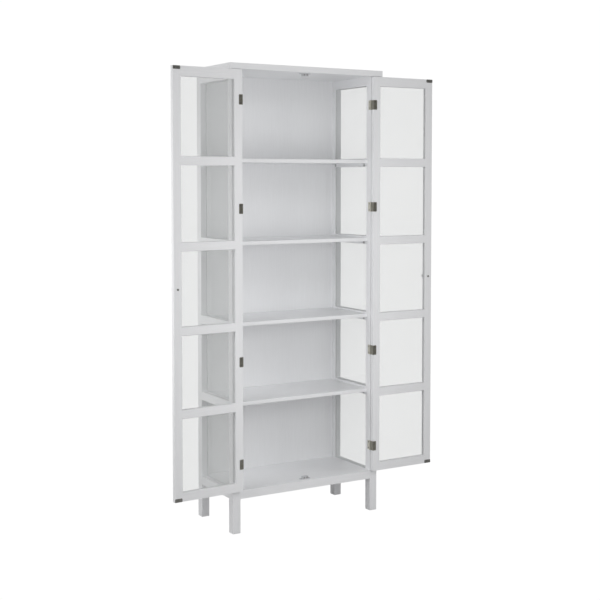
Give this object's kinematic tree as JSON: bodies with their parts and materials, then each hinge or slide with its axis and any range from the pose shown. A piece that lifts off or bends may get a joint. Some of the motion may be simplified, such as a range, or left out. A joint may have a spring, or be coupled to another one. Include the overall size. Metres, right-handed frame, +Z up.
{
  "type": "glazed bookcase",
  "caption": "Tall white-painted wooden bookcase on legs with shelves, a solid back, glazed sides and two hinged glass doors with round knobs and magnetic catches.",
  "frame": {"origin": "on the floor, midway between the sides and midway between the back and the foremost point of the open doors", "axes": "+X to the right as seen from the front, +Y to the back, +Z up"},
  "size_m": [1.2534, 0.3596, 1.9],
  "materials": {
    "painted_wood": "smooth white satin paint",
    "painted_knob": "white satin paint",
    "clear_glass": "clear float glass",
    "hinge_steel": "nickel-plated, slightly dulled",
    "screw_steel": "plated",
    "support_steel": "zinc-plated",
    "dark_steel": "dark, lightly polished",
    "magnet": "matt ferrite",
    "catch_plastic": "grey moulded plastic"
  },
  "bodies": {
    "cabinet": {"back_panel": "painted_wood", "bottom_catch_body": "catch_plastic", "bottom_panel": "painted_wood", "catch_magnets": "magnet", "catch_screws": "screw_steel", "front_bottom_rail": "painted_wood", "front_left_post": "painted_wood", "front_right_post": "painted_wood", "left_hinge_pins": "hinge_steel", "left_post_hinge_leaves": "hinge_steel", "left_side_bottom_rail": "painted_wood", "left_side_glass": "clear_glass", "left_side_glazing_bars": "painted_wood", "left_side_glazing_beads": "painted_wood", "left_side_top_rail": "painted_wood", "post_hinge_screws": "screw_steel", "rear_bottom_rail": "painted_wood", "rear_left_post": "painted_wood", "rear_right_post": "painted_wood", "right_hinge_pins": "hinge_steel", "right_post_hinge_leaves": "hinge_steel", "right_side_bottom_rail": "painted_wood", "right_side_glass": "clear_glass", "right_side_glazing_bars": "painted_wood", "right_side_glazing_beads": "painted_wood", "right_side_top_rail": "painted_wood", "shelf_1": "painted_wood", "shelf_2": "painted_wood", "shelf_3": "painted_wood", "shelf_4": "painted_wood", "shelf_supports": "support_steel", "top_catch_body": "catch_plastic", "top_panel": "painted_wood"},
    "left_door": {"left_door_bottom_rail": "painted_wood", "left_door_fitting_screws": "screw_steel", "left_door_glass": "clear_glass", "left_door_glazing_bars": "painted_wood", "left_door_glazing_beads": "painted_wood", "left_door_hinge_leaves": "hinge_steel", "left_door_hinge_stile": "painted_wood", "left_door_knob": "painted_knob", "left_door_knob_screw": "screw_steel", "left_door_meeting_stile": "painted_wood", "left_door_strike_plates": "dark_steel", "left_door_top_rail": "painted_wood"},
    "right_door": {"right_door_bottom_rail": "painted_wood", "right_door_fitting_screws": "screw_steel", "right_door_glass": "clear_glass", "right_door_glazing_bars": "painted_wood", "right_door_glazing_beads": "painted_wood", "right_door_hinge_leaves": "hinge_steel", "right_door_hinge_stile": "painted_wood", "right_door_knob": "painted_knob", "right_door_knob_screw": "screw_steel", "right_door_meeting_stile": "painted_wood", "right_door_strike_plates": "dark_steel", "right_door_top_rail": "painted_wood"}
  },
  "joints": [
    {"name": "left_door_hinge", "type": "hinge", "parent": "cabinet", "child": "left_door", "pos_m": [-0.315, -0.14224, 0.95], "axis": [0, 0, -1], "range_deg": [-177, 3]},
    {"name": "right_door_hinge", "type": "hinge", "parent": "cabinet", "child": "right_door", "pos_m": [0.315, -0.14224, 0.95], "axis": [0, 0, 1], "range_deg": [-180, 0]}
  ]
}
